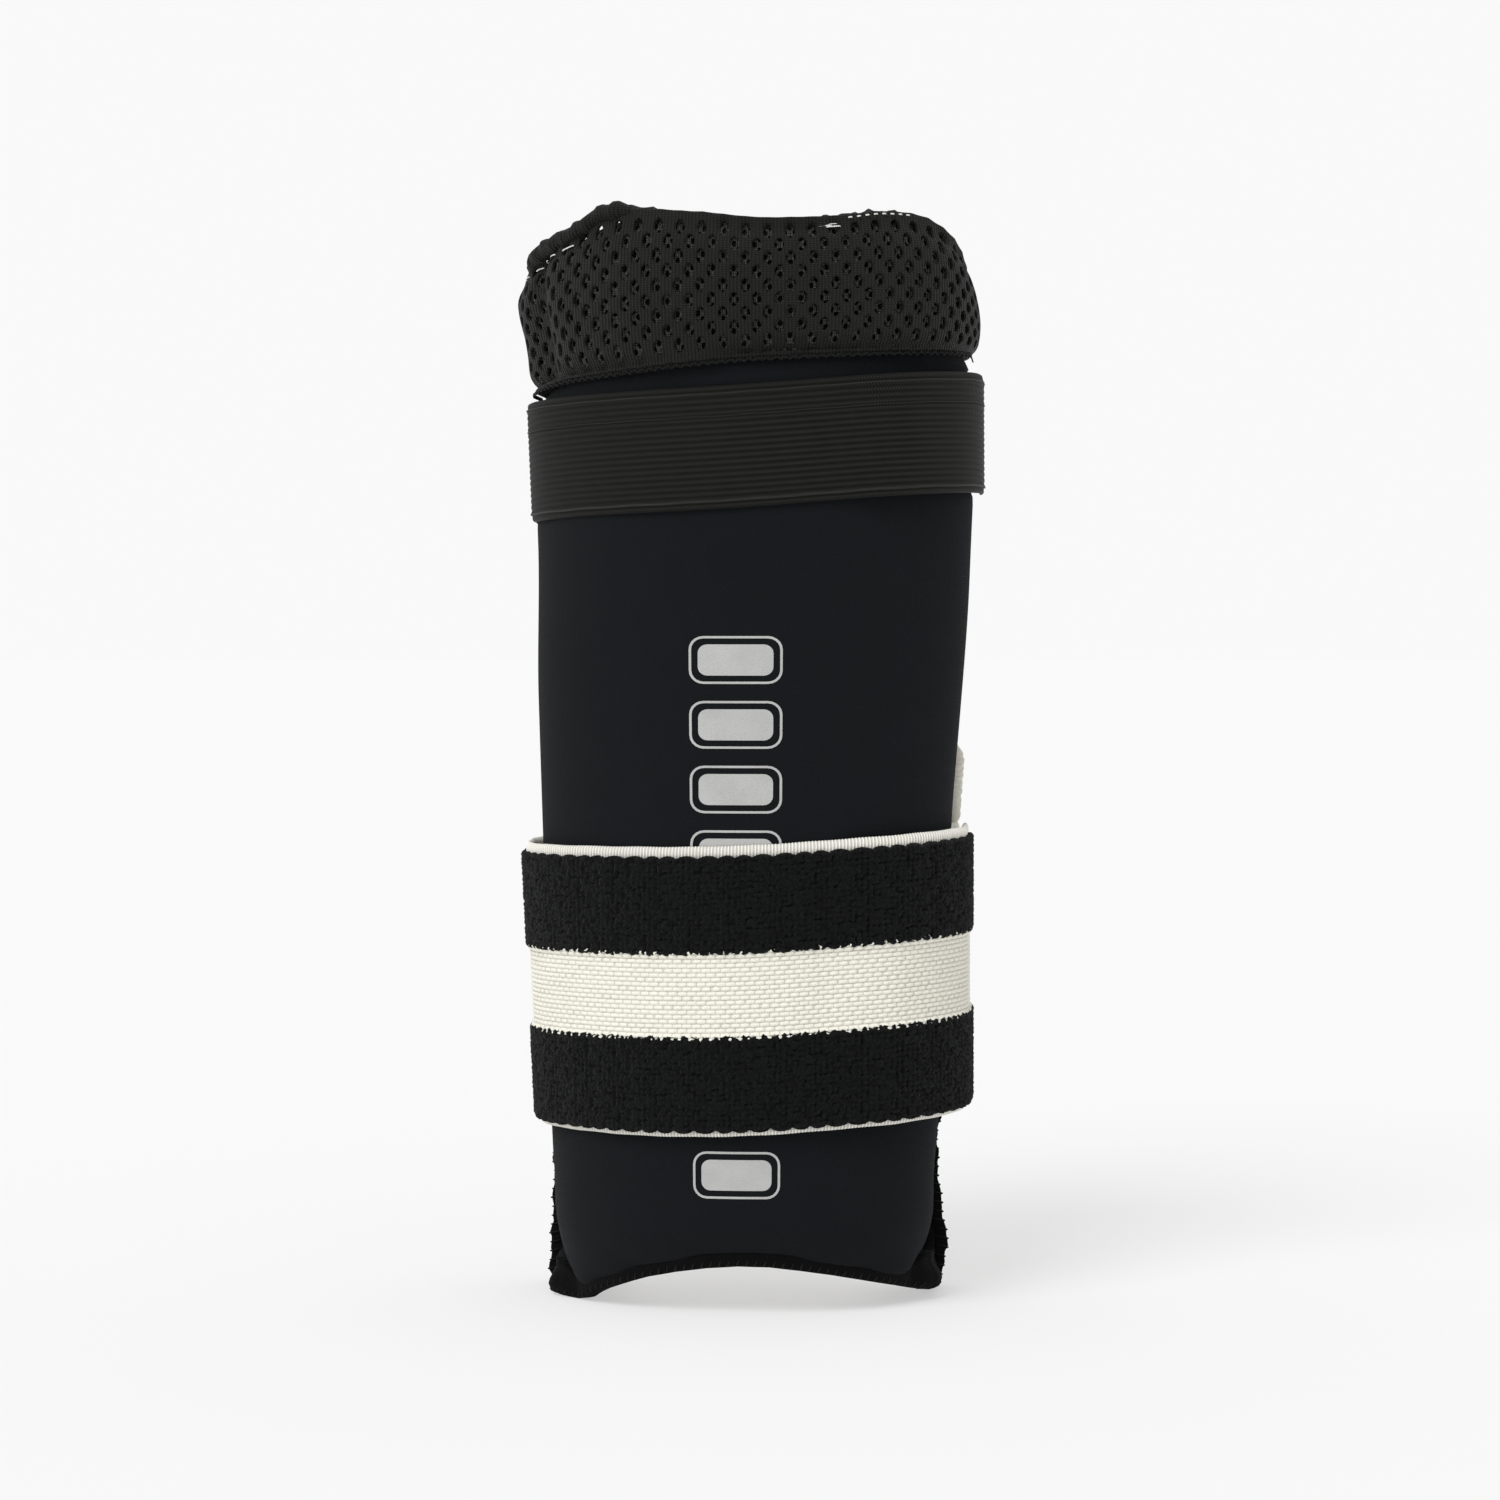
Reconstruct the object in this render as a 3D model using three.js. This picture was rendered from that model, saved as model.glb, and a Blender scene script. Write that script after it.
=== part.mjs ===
// A batter's forearm guard: a curved padded shell with a puffy mesh elbow cap, held on by an
// elastic strap below the elbow and a wide towelling band at the wrist.
// Millimetres, +Z up. The guard stands on its wrist end with its padded front towards -Y.
//
// Every piece is a slab wrapped round one closed girth line: the padded front is half an ellipse,
// the side walls run straight back, and behind them the straps turn a corner and cross the open
// back. A place on it is given by "run", the distance from the middle of the front (positive to
// the right), by "lift", the distance out from the face fabric, and by the height.

import * as THREE from 'three';
import { mergeVertices } from 'three/addons/utils/BufferGeometryUtils.js';

// ---------------------------------------------------------------- driving dimensions

const gap = 0.3; // between pieces that touch
const seamGap = 0.5; // where a piece's facets lie across its neighbour's

// the shell
const wristHalfWidth = 47.4; // over the face fabric, at the wrist end
const flare = 0.0289; // half width gained for each mm of height
const depthRatio = 0.68; // depth of the curved front over its half width
const sideWall = 16; // straight side behind the widest place
const faceCloth = 1.2;
const impactFoam = 8;
const softFoam = 3;
const lining = 1.5;

// the sewn edges
const wristEdgeHeight = 2.4;
const wristEdgeRecess = 1.5; // behind the face fabric
const sideEdgeWidth = 1.8;
const leftEdgeReach = 1; // how far the left edge stands out past the face
const archRise = 13; // cut-out over the hand
const archHalfSpan = 42;

// the seam between the shell and the elbow cap, which climbs to the right
const seamHeight = 230.5;
const seamSlope = 0.062;
const tapeWidth = 3;
const tapeThickness = 0.6;

// the elbow cap
const capHeight = 264.5; // to the top of its padding, at the two crowns
const capCloth = 2;
const capBulge = 4.4;
const capTuck = 1.4; // how far the cap starts behind the face at the seam
const crownRun = 36; // from the middle to each crown
const crownDip = 4.5;
const shoulderDrop = 20;
const rimHeight = 3.8;
const rimGap = 0.8; // its facets lie across the padding's on the steep shoulders

// the two straps
const cornerRadius = 5; // where a strap turns behind the side wall
const hingeSet = 8; // the front run swings on a line this far ahead of the widest place
const tabLength = 20; // sewn end of a strap, ahead of the widest place
const tailSet = 25; // the tail peels from here, ahead of the widest place
const breakGap = 1.2; // between the runs of one strap
const patchMargin = 3; // between a patch and the end of what it is sewn to

const elbowStrap = {
  name: 'elbow_strap', colour: 0x1f1f1d, roughness: 0.8,
  height: 213, slope: 0.065, width: 29.5, thickness: 1.2,
  rest: 0.5, leftLift: 1.2, tab: 1.1, patch: 0.6,
};
const wristBand = {
  name: 'wrist_band', colour: 0xe6e2d6, roughness: 0.95,
  height: 82.2, slope: 0.042, width: 70, thickness: 2.2,
  rest: 0.9, leftLift: 3.4, tab: 1.2, patch: 0.6,
};

const segment = 4; // length of one flat along the girth

// ---------------------------------------------------------------- the girth line

const { smoothstep, lerp } = THREE.MathUtils;

const halfWidthAt = (z) => wristHalfWidth + flare * z;

// the front quarter of the girth at the wrist, which turns a run into a place on the ellipse
const quarter = new THREE.EllipseCurve(
  0, 0, wristHalfWidth, wristHalfWidth * depthRatio, -Math.PI / 2, 0);
const quarterRun = quarter.getLength();
const wallEnd = quarterRun + sideWall;
const cornerStart = wallEnd + gap + sideEdgeWidth + gap;
const cornerRun = (cornerRadius * Math.PI) / 2;
const halfGirth = (halfWidth) => cornerStart + cornerRun + halfWidth - cornerRadius;

// place and outward direction on the girth line of a given half width
function girth(run, halfWidth) {
  const whole = 2 * halfGirth(halfWidth);
  const signed = run > whole / 2 ? run - whole : run;
  const side = signed < 0 ? -1 : 1;
  const along = Math.abs(signed);
  const place = new THREE.Vector2(halfWidth, along - quarterRun);
  const out = new THREE.Vector2(1, 0);
  if (along < quarterRun) {
    const angle = (Math.PI / 2) * (quarter.getUtoTmapping(along / quarterRun) - 1);
    place.set(halfWidth * Math.cos(angle), halfWidth * depthRatio * Math.sin(angle));
    out.set(Math.cos(angle) * depthRatio, Math.sin(angle)).normalize();
  } else if (along > cornerStart) {
    const turn = Math.min((along - cornerStart) / cornerRadius, Math.PI / 2);
    const across = Math.max(along - cornerStart - cornerRun, 0);
    out.set(Math.cos(turn), Math.sin(turn));
    place.set(halfWidth - cornerRadius - across, cornerStart - quarterRun);
    place.addScaledVector(out, cornerRadius);
  }
  place.x *= side;
  out.x *= side;
  return { place, out };
}

// a value that may be a plain number or a rule
const at = (value, ...where) => (typeof value === 'function' ? value(...where) : value);

// A closed slab wrapped round the girth from one run to another. inner and outer are lifts and
// may depend on the run and on the share of the height; low and high are heights and may depend
// on the run and on x.
function wrappedSlab({ from, to, inner, outer, low, high, halfWidth = halfWidthAt, rows = 1 }) {
  const columns = Math.max(2, Math.round((to - from) / segment));
  const slab = new THREE.BoxGeometry(1, 1, 1, columns, 1, rows);
  slab.deleteAttribute('normal');
  slab.deleteAttribute('uv');
  const geometry = mergeVertices(slab);
  const position = geometry.attributes.position;
  for (let i = 0; i < position.count; i += 1) {
    const run = lerp(from, to, position.getX(i) + 0.5);
    const share = position.getZ(i) + 0.5;
    const nominal = girth(run, at(halfWidth, seamHeight / 2)).place.x;
    const z = lerp(at(low, run, nominal), at(high, run, nominal), share);
    const { place, out } = girth(run, at(halfWidth, z));
    const isOuter = position.getY(i) < 0;
    place.addScaledVector(out, at(isOuter ? outer : inner, run, share));
    position.setXYZ(i, place.x, place.y, z);
  }
  geometry.computeVertexNormals();
  return geometry;
}

const guard = new THREE.Group();

function addPiece(name, geometry, color, roughness) {
  const material = new THREE.MeshStandardMaterial({ color, roughness, metalness: 0 });
  const mesh = new THREE.Mesh(geometry, material);
  mesh.name = name;
  guard.add(mesh);
}

// ---------------------------------------------------------------- the shell

// the cut-out over the back of the hand, highest in the middle of the front
const archAt = (run, x) => archRise * Math.max(0, 1 - (x / archHalfSpan) ** 2);
const seamAt = (run, x) => seamHeight + seamSlope * x;

const shellFoot = (run, x) => archAt(run, x) + wristEdgeHeight + seamGap;
const shellTop = (run, x) => seamAt(run, x) - gap / 2;

const linerLift = -(faceCloth + impactFoam + softFoam + lining + 3 * gap);

function addShellLayer(name, lift, thickness, color, roughness) {
  addPiece(name, wrappedSlab({
    from: -wallEnd, to: wallEnd, inner: lift - thickness, outer: lift,
    low: shellFoot, high: shellTop,
  }), color, roughness);
}

function addShell() {
  const impactLift = -faceCloth - gap;
  const softLift = impactLift - impactFoam - gap;
  addShellLayer('face_cover', 0, faceCloth, 0x1c1f22, 0.7);
  addShellLayer('impact_foam', impactLift, impactFoam, 0x3a3a3c, 0.9);
  addShellLayer('comfort_foam', softLift, softFoam, 0xd8c070, 0.95);
  addShellLayer('towel_lining', linerLift + lining, lining, 0xe6e2d6, 1);
}

// overlocked seam allowance along the wrist end, which the guard stands on
function addWristEdge() {
  addPiece('wrist_edge', wrappedSlab({
    from: -wallEnd, to: wallEnd, inner: linerLift + wristEdgeRecess, outer: -wristEdgeRecess,
    low: archAt, high: (run, x) => archAt(run, x) + wristEdgeHeight,
  }), 0x121212, 0.9);
}

// overlocked seam allowance down one side, closing the shell's rear edge
function addSideEdge(name, side, reach) {
  const rear = side * (wallEnd + gap);
  const tip = rear + side * sideEdgeWidth;
  addPiece(name, wrappedSlab({
    from: Math.min(rear, tip), to: Math.max(rear, tip), inner: linerLift, outer: reach,
    low: shellFoot, high: shellTop,
  }), 0x121212, 0.9);
}

// ---------------------------------------------------------------- the elbow cap

const capFoot = (run, x) => seamAt(run, x) + gap / 2;

// two crowns with a dip between them, falling away to the shoulders
function capTop(run) {
  const along = Math.abs(run);
  const dip = crownDip * Math.cos((Math.PI / 2) * Math.min(along / crownRun, 1)) ** 2;
  const past = Math.max(0, (along - crownRun) / (wallEnd - crownRun));
  return capHeight - dip - shoulderDrop * past ** 1.6;
}

const capSwell = (run, share) => capBulge * Math.sin(Math.PI * share) ** 1.3 - capTuck;

function addCapLayer(name, inner, outer, color, roughness) {
  addPiece(name, wrappedSlab({
    from: -wallEnd, to: wallEnd, inner, outer, low: capFoot, high: capTop, rows: 6,
  }), color, roughness);
}

function addElbowCap() {
  const backLift = linerLift + capCloth;
  addCapLayer('cap_mesh_front', (run, share) => capSwell(run, share) - capCloth, capSwell,
    0x232321, 0.85);
  addCapLayer('cap_foam', backLift + gap,
    (run, share) => capSwell(run, share) - capCloth - seamGap, 0x3a3a3c, 0.9);
  addCapLayer('cap_mesh_back', linerLift, backLift, 0x232321, 0.85);
}

// gathered roll that closes the cap along its top
function addCapRim() {
  const middle = (linerLift - capTuck) / 2;
  const halfDepth = (-capTuck - linerLift) / 2;
  const foot = (run) => capTop(run) + rimGap;
  const profile = (share) => halfDepth * Math.sqrt(1 - (0.85 * share) ** 2);
  addPiece('cap_rim', wrappedSlab({
    from: -wallEnd, to: wallEnd,
    inner: (run, share) => middle - profile(share), outer: (run, share) => middle + profile(share),
    low: foot, high: (run) => foot(run) + rimHeight, rows: 4,
  }), 0x1a1a19, 0.9);
}

// stitched tape over the seam between the shell and the cap
function addSeamTape() {
  addPiece('cap_seam_tape', wrappedSlab({
    from: -wallEnd, to: wallEnd, inner: gap, outer: gap + tapeThickness,
    low: (run, x) => seamAt(run, x) - tapeWidth / 2,
    high: (run, x) => seamAt(run, x) + tapeWidth / 2,
  }), 0x151515, 0.9);
}

// ---------------------------------------------------------------- straps

const leftHinge = -(quarterRun - hingeSet);
const tabStart = quarterRun - tabLength;
const tailHinge = quarterRun - tailSet;
const tailEnd = wallEnd - patchMargin;

// A strap is sewn to the right side by its tab, crosses the open back, wraps the left side and
// the front, and closes with its tail over the tab: hook patch on the tail, loop patch on the tab.
function addStrap(strap) {
  const half = strap.width / 2;
  const halfWidth = halfWidthAt(strap.height + half);
  const low = (run, x) => strap.height + strap.slope * x - half;
  const high = (run, x) => strap.height + strap.slope * x + half;
  const rear = halfGirth(halfWidth);
  const backEnd = 2 * rear + leftHinge - breakGap;

  const loopLift = seamGap + strap.tab + gap;
  const hookLift = loopLift + strap.patch + gap;
  const tailLift = hookLift + strap.patch + gap;

  // over the left side the strap stands clear of the sewn edge, in its front run and its back run
  const leftLift = (run) => strap.rest + strap.leftLift * smoothstep(-run, quarterRun / 2, wallEnd);
  const backLift = (run) => (run > rear
    ? leftLift(run - 2 * rear)
    : lerp(seamGap, leftLift(-rear), smoothstep(run, cornerStart + cornerRun, rear)));
  const frontLift = (run) => lerp(leftLift(run), tailLift,
    smoothstep(run, tailHinge - tabLength, tailHinge));

  const run = (name, from, to, lift, thickness, inset = 0) => addPiece(
    `${strap.name}_${name}`,
    wrappedSlab({
      from, to, halfWidth, inner: lift, outer: (s) => at(lift, s) + thickness,
      low: (s, x) => low(s, x) + inset, high: (s, x) => high(s, x) - inset,
    }),
    strap.colour, strap.roughness);

  run('back', tabStart, backEnd, backLift, strap.tab);
  run('front', leftHinge, tailHinge - breakGap, frontLift, strap.thickness);
  run('tail', tailHinge, tailEnd, tailLift, strap.thickness);
  run('loop_patch', tabStart + patchMargin, tailEnd - patchMargin, loopLift, strap.patch,
    patchMargin);
  run('hook_patch', tabStart + patchMargin, tailEnd - patchMargin, hookLift, strap.patch,
    patchMargin);
}

// ---------------------------------------------------------------- the whole guard

addShell();
addWristEdge();
addSideEdge('left_edge', -1, leftEdgeReach);
addSideEdge('right_edge', 1, 0);
addElbowCap();
addCapRim();
addSeamTape();
for (const strap of [elbowStrap, wristBand]) addStrap(strap);

// the origin is the middle of the footprint, on the surface it stands on
const bounds = new THREE.Box3().setFromObject(guard);
const middle = bounds.getCenter(new THREE.Vector3());
guard.position.set(-middle.x, -middle.y, -bounds.min.z);

export default guard;
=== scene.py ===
import math

import bmesh
import bpy
import numpy as np
from mathutils import Matrix, Vector
from mathutils.bvhtree import BVHTree


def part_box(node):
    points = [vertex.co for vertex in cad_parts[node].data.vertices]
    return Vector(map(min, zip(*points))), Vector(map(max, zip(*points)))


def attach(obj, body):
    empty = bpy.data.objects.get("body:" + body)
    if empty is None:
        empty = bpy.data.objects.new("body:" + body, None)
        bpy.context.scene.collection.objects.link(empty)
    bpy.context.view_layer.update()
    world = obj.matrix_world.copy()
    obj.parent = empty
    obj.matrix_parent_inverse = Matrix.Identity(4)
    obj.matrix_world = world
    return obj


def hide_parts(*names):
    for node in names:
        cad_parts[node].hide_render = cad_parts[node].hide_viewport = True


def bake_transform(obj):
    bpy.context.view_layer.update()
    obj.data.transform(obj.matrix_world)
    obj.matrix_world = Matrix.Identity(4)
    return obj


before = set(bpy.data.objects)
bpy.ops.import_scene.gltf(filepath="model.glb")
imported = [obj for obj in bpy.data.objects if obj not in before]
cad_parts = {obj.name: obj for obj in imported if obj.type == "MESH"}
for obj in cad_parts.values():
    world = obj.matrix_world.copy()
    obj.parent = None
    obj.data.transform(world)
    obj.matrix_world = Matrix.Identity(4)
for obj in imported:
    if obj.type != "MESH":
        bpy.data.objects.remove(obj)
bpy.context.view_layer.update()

# ---- Studio -------------------------------------------------------------------------------
# A white table with no edge in sight, an even white room and one soft lamp high in front on the
# left. The camera stands just above the guard's middle, and a little to its right.

METRE = 0.001  # the guard is laid out in millimetres

CAMERA_BEARING = math.radians(4.5)
CAMERA_DISTANCE = 0.936
CAMERA_HEIGHT = 0.172
CAMERA_DROOP = math.radians(2.14)
CAMERA_LENS = 89.9
TURNING_POINT = 0.0056  # how far behind the origin the camera's bearing turns
LAMP_POWER = 1.5
LAMP_SPREAD = math.radians(32)
LAMP_TILT = (math.radians(38), math.radians(-26), 0)
ROOM_LIGHT = 0.64
FLOOR_REACH = 12
FLOOR_GLOW = 0.5  # share of the floor that shows as plain white
WHITE = 0.947


def socket(node, name, value):
    node.inputs[name].default_value = value


camera = bpy.data.objects.new("camera", bpy.data.cameras.new("camera"))
camera.data.sensor_width = 36
camera.data.lens = CAMERA_LENS
camera.location = (
    CAMERA_DISTANCE * math.sin(CAMERA_BEARING),
    TURNING_POINT - CAMERA_DISTANCE * math.cos(CAMERA_BEARING),
    CAMERA_HEIGHT,
)
camera.rotation_euler = (math.pi / 2 - CAMERA_DROOP, 0, CAMERA_BEARING)
bpy.context.scene.collection.objects.link(camera)
bpy.context.scene.camera = camera
bpy.context.scene.view_settings.view_transform = "Standard"

lamp = bpy.data.objects.new("soft_lamp", bpy.data.lights.new("soft_lamp", "SUN"))
lamp.data.energy = LAMP_POWER
lamp.data.angle = LAMP_SPREAD
lamp.rotation_euler = LAMP_TILT
bpy.context.scene.collection.objects.link(lamp)

room = bpy.data.worlds.new("room")
room.use_nodes = True
room_nodes = room.node_tree.nodes
room_light = room_nodes["Background"]
socket(room_light, "Color", (1, 1, 1, 1))
socket(room_light, "Strength", ROOM_LIGHT)
room_seen = room_nodes.new("ShaderNodeBackground")
socket(room_seen, "Color", (WHITE, WHITE, WHITE, 1))
room_ray = room_nodes.new("ShaderNodeLightPath")
room_mix = room_nodes.new("ShaderNodeMixShader")
room.node_tree.links.new(room_ray.outputs["Is Camera Ray"], room_mix.inputs[0])
room.node_tree.links.new(room_light.outputs[0], room_mix.inputs[1])
room.node_tree.links.new(room_seen.outputs[0], room_mix.inputs[2])
room.node_tree.links.new(room_mix.outputs[0], room_nodes["World Output"].inputs[0])
bpy.context.scene.world = room

floor_mesh = bpy.data.meshes.new("floor")
floor_bm = bmesh.new()
bmesh.ops.create_grid(floor_bm, x_segments=2, y_segments=2, size=FLOOR_REACH)
floor_bm.to_mesh(floor_mesh)
floor_bm.free()
floor = bpy.data.objects.new("floor", floor_mesh)
floor_paint = bpy.data.materials.new("table_white")
floor_paint.use_nodes = True
floor_nodes, floor_links = floor_paint.node_tree.nodes, floor_paint.node_tree.links
floor_coat = floor_nodes["Principled BSDF"]
socket(floor_coat, "Base Color", (0.98, 0.98, 0.98, 1))
socket(floor_coat, "Roughness", 1)
socket(floor_coat, "Specular IOR Level", 0)
floor_glow = floor_nodes.new("ShaderNodeEmission")
socket(floor_glow, "Color", (WHITE, WHITE, WHITE, 1))
floor_ray = floor_nodes.new("ShaderNodeLightPath")
floor_share = floor_nodes.new("ShaderNodeMath")
floor_share.operation = "MULTIPLY"
socket(floor_share, 1, FLOOR_GLOW)
floor_mix = floor_nodes.new("ShaderNodeMixShader")
floor_links.new(floor_ray.outputs["Is Camera Ray"], floor_share.inputs[0])
floor_links.new(floor_share.outputs[0], floor_mix.inputs[0])
floor_links.new(floor_coat.outputs[0], floor_mix.inputs[1])
floor_links.new(floor_glow.outputs[0], floor_mix.inputs[2])
floor_links.new(floor_mix.outputs[0], floor_nodes["Material Output"].inputs[0])
floor.data.materials.append(floor_paint)
bpy.context.scene.collection.objects.link(floor)

# ---- Front pad ----------------------------------------------------------------------------
# Firm foam in smooth dark navy cloth, stuffed through the elbow end and sewn all round.
# Every piece is laid out flat, front towards -Y, and then wrapped round the forearm.

WRIST_HALF_WIDTH = 47.4
FLARE = 0.0289
DEPTH_RATIO = 0.68
SIDE_WALL = 16
EDGE_ROOM = 2.4
CORNER = 5
CORNER_RUN = CORNER * math.pi / 2
ELASTIC_SLOPE = 0.065  # rise of the elbow elastic for each millimetre to the right
ARCH = (  # height of the wrist end, run by run
    [-79, -52, -48, -44, -40, -32, -24, -16, -8, 0, 8, 16, 24, 32, 40, 48, 56, 66, 76],
    [0, 0, 0.8, 2.4, 3.8, 6.2, 8.6, 10.3, 11.5, 12.1, 11.9, 10.9, 9.6, 8.0, 6.3, 4.7, 3.2, 1.4, 0],
)
SEAM_HEIGHT = 230.5
SEAM_SLOPE = 0.062
SEAM_CLIMB, SEAM_DROP = 1.6, 1.5  # how far it climbs past the left side, and drops at that side
WALL = 14.6  # face cloth to lining

face_low, face_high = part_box("face_cover")
MIDDLE_X = (face_low.x + face_high.x) / 2 / METRE
WIDEST_Y = face_high.y / METRE - SIDE_WALL

quarter_angles = np.linspace(-math.pi / 2, 0, 400)
quarter_steps = np.hypot(
    np.diff(WRIST_HALF_WIDTH * np.cos(quarter_angles)),
    np.diff(WRIST_HALF_WIDTH * DEPTH_RATIO * np.sin(quarter_angles)),
)
quarter_runs = np.concatenate([[0], np.cumsum(quarter_steps)])
QUARTER = quarter_runs[-1]
WALL_END = QUARTER + SIDE_WALL
CORNER_START = WALL_END + EDGE_ROOM


def shell_half_width(z):
    return WRIST_HALF_WIDTH + FLARE * z


def girth(run, half):
    """Places and outward directions on the line round the guard, for arrays of runs."""
    whole = 2 * (CORNER_START + CORNER_RUN + half - CORNER)
    run = np.where(run < -whole / 2, run + whole, run)
    along = np.abs(run)
    angle = np.interp(along, quarter_runs, quarter_angles)
    wall = along > QUARTER
    behind = along > CORNER_START
    out_x = np.where(wall, 1, DEPTH_RATIO * np.cos(angle))
    out_y = np.where(wall, 0, np.sin(angle))
    size = np.hypot(out_x, out_y)
    turn = np.clip((along - CORNER_START) / CORNER, 0, math.pi / 2)
    out_x = np.where(behind, np.cos(turn), out_x / size)
    out_y = np.where(behind, np.sin(turn), out_y / size)
    across = np.maximum(along - CORNER_START - CORNER_RUN, 0)
    x = np.where(behind, half - CORNER - across + CORNER * out_x, half * np.cos(angle))
    y = np.where(wall, along - QUARTER, half * DEPTH_RATIO * np.sin(angle))
    y = np.where(behind, SIDE_WALL + EDGE_ROOM + CORNER * out_y, y)
    side = np.where(run < 0, -1, 1)
    return x * side, y, out_x * side, out_y


def arch(run):
    return np.interp(run, *ARCH)


def smooth_step(value, low, high):
    t = np.clip((value - low) / (high - low), 0, 1)
    return t * t * (3 - 2 * t)


def seam(run):
    """Height of the seam between the front pad and the elbow cap."""
    level = SEAM_HEIGHT + SEAM_SLOPE * girth(run, shell_half_width(SEAM_HEIGHT / 2))[0]
    climb = SEAM_CLIMB * smooth_step(run, -45, 5)
    return level + climb - SEAM_DROP * smooth_step(-run, 38, 62)


def give(run, z):
    """How far the soft shell stands out: the straps press it in, more on the left, and the right
    side swells between them and under the cap."""
    left, right = smooth_step(-run, 20, 54), smooth_step(run, 35, 68)
    level = z - ELASTIC_SLOPE * girth(run, WRIST_HALF_WIDTH)[0]
    elastic = smooth_step(level, 196, 203) * (1 - smooth_step(level, 221, 228))
    between = smooth_step(z, 112, 180) * (1 - smooth_step(level, 196, 204))
    foot = 1 - smooth_step(z, 22, 48)
    neck = smooth_step(level, 226.5, 229) * (1 - smooth_step(level, 229.5, 233.5))
    tucked = 1 - smooth_step(z, 30, 62)
    cap_foot = smooth_step(level, 223, 231) * (1 - smooth_step(z, 236, 252))
    slack = smooth_step(z, 150, 190) * (1 - smooth_step(z, 214, 226))
    return (
        -0.8 * elastic
        - left * (1.2 * slack + 1.2 * elastic + 0.5 * foot + 2.0 * cap_foot)
        + right * (2.7 * between + 0.3 * elastic - 2.2 * tucked - 0.3 * cap_foot + 1.8 * neck)
    )


def shell_wrap(run, lift, up):
    """Takes flat places to their places on the shell, in metres."""
    x, y, out_x, out_y = girth(run, shell_half_width(up))
    lift = lift + give(run, up) * smooth_step(lift, -WALL, -4)
    return np.stack([x + out_x * lift + MIDDLE_X, y + out_y * lift + WIDEST_Y, up], 1) * METRE


def coordinates(mesh):
    co = np.empty(len(mesh.vertices) * 3)
    mesh.vertices.foreach_get("co", co)
    return co.reshape(-1, 3)


def constant(value):
    """A lift or a height that is the same all over a piece."""
    return lambda run, up=None: np.full_like(run, value)


def flat_slab(run_from, run_to, run_cell, up_cell, low, high, inner, outer):
    """A closed slab laid flat. low and high are heights by run; inner and outer are lifts by run
    and height, taken when the slab is shaped."""
    columns = max(2, round((run_to - run_from) / run_cell))
    middle_height = float(np.mean(high(np.array([0.0])) - low(np.array([0.0]))))
    rows = max(1, round(middle_height / up_cell))
    bm = bmesh.new()
    bmesh.ops.create_grid(bm, x_segments=columns, y_segments=rows, size=0.5)
    bmesh.ops.rotate(bm, verts=bm.verts, matrix=Matrix.Rotation(math.pi / 2, 3, "X"))
    bmesh.ops.solidify(bm, geom=bm.faces[:], thickness=1)
    bmesh.ops.recalc_face_normals(bm, faces=bm.faces[:])
    mesh = bpy.data.meshes.new("flat")
    bm.to_mesh(mesh)
    bm.free()
    co = coordinates(mesh)
    front = co[:, 1] < co[:, 1].mean()
    run = run_from + (run_to - run_from) * (co[:, 0] + 0.5)
    share = co[:, 2] + 0.5
    up = low(run) + (high(run) - low(run)) * share
    lift = np.where(front, outer(run, up), inner(run, up))
    mesh.vertices.foreach_set("co", np.stack([run, -lift, up], 1).ravel())
    return mesh


def wrapped_piece(name, mesh, wrap, material):
    """Keeps the flat lay as the cloth map, wraps the mesh and gives it its cloth."""
    flat = coordinates(mesh)
    cloth = mesh.uv_layers.new(name="cloth")
    corner = np.empty(len(mesh.loops), int)
    mesh.loops.foreach_get("vertex_index", corner)
    cloth.data.foreach_set("uv", (flat[corner][:, [0, 2]] / 10).ravel())
    mesh.vertices.foreach_set("co", wrap(flat[:, 0], -flat[:, 1], flat[:, 2]).ravel())
    mesh.polygons.foreach_set("use_smooth", [True] * len(mesh.polygons))
    mesh.update()
    mesh.name = name
    mesh.materials.append(material)
    piece = bpy.data.objects.new(name, mesh)
    bpy.context.scene.collection.objects.link(piece)
    return piece


def plump(mesh, pressure, most, voxel, pinned):
    """Stuffs a flat closed form as cloth under pressure. No point moves further than most, and
    the points that pinned picks out stay sewn down."""
    mesh.transform(Matrix.Scale(METRE, 4))
    body = bpy.data.objects.new("stuffing", mesh)
    bpy.context.scene.collection.objects.link(body)
    bpy.context.view_layer.objects.active = body
    remesh = body.modifiers.new("remesh", "REMESH")
    remesh.mode = "VOXEL"
    remesh.voxel_size = voxel * METRE
    bpy.ops.object.modifier_apply(modifier="remesh")
    start = coordinates(body.data)
    held = body.vertex_groups.new(name="held")
    for index in np.flatnonzero(pinned(start / METRE)):
        held.add([int(index)], 1, "REPLACE")
    cloth = body.modifiers.new("cloth", "CLOTH")
    cloth.settings.use_pressure = True
    cloth.settings.uniform_pressure_force = pressure
    cloth.settings.effector_weights.gravity = 0
    cloth.settings.vertex_group_mass = "held"
    cloth.point_cache.frame_start, cloth.point_cache.frame_end = 1, 20
    for step in range(1, 21):
        bpy.context.scene.frame_set(step)
    bpy.ops.object.modifier_apply(modifier="cloth")
    bpy.context.scene.frame_set(1)
    moved = coordinates(body.data) - start
    far = np.linalg.norm(moved, axis=1, keepdims=True)
    moved *= np.minimum(1, most * METRE / np.maximum(far, 1e-9))
    body.data.vertices.foreach_set("co", (start + moved).ravel())
    finer = body.modifiers.new("finer", "SUBSURF")
    finer.levels = finer.render_levels = 1
    bpy.ops.object.modifier_apply(modifier="finer")
    mesh = body.data.copy()
    bpy.data.objects.remove(body)
    mesh.transform(Matrix.Scale(1 / METRE, 4))
    return mesh


RELIEF_DEPTH = 0.0004
PATCH_SCALE = 1.3


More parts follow.
